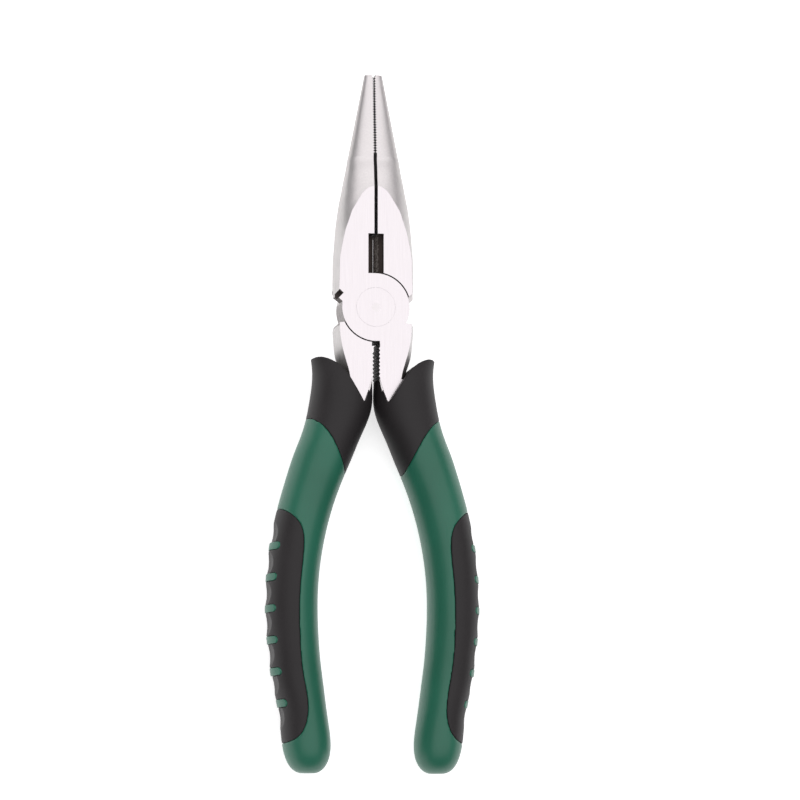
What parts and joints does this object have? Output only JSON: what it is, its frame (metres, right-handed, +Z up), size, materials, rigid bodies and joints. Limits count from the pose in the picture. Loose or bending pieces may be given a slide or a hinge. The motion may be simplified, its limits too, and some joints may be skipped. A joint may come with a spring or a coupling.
{
  "type": "long nose pliers",
  "caption": "Long nose pliers with a lapped pivot joint, tapered serrated jaws, side cutter, pipe grip and bowed moulded handles with collars and ridged finger pads.",
  "frame": {"origin": "centre of the outline, on the surface that the pliers lie on", "axes": "+Y from the handles to the jaw tips, +X to the right seen from above, +Z up through the joint"},
  "size_m": [0.0614, 0.2, 0.018],
  "materials": {
    "jaw_steel": "drop-forged steel, nose and flanks ground, both joint faces polished",
    "rivet_steel": "steel, ground flush and polished with the joint faces",
    "green_polymer": "injection-moulded hard thermoplastic, satin",
    "black_rubber": "over-moulded thermoplastic rubber, fine matt texture"
  },
  "bodies": {
    "rear_half_and_left_handle": {"rear_half": "jaw_steel", "pivot_rivet": "rivet_steel", "left_grip_core": "green_polymer", "left_grip_collar": "black_rubber", "left_finger_pad": "black_rubber", "left_grip_stud_1": "green_polymer", "left_grip_stud_2": "green_polymer", "left_grip_stud_3": "green_polymer", "left_grip_stud_4": "green_polymer", "left_grip_stud_5": "green_polymer", "left_grip_stud_6": "green_polymer"},
    "front_half_and_right_handle": {"front_half": "jaw_steel", "right_grip_core": "green_polymer", "right_grip_collar": "black_rubber", "right_finger_pad": "black_rubber", "right_grip_stud_1": "green_polymer", "right_grip_stud_2": "green_polymer", "right_grip_stud_3": "green_polymer", "right_grip_stud_4": "green_polymer", "right_grip_stud_5": "green_polymer", "right_grip_stud_6": "green_polymer"}
  },
  "joints": [
    {"name": "pivot", "type": "hinge", "parent": "rear_half_and_left_handle", "child": "front_half_and_right_handle", "pos_m": [0, 0.0318, 0.009], "axis": [0, 0, 1], "range_deg": [0, 34]}
  ]
}
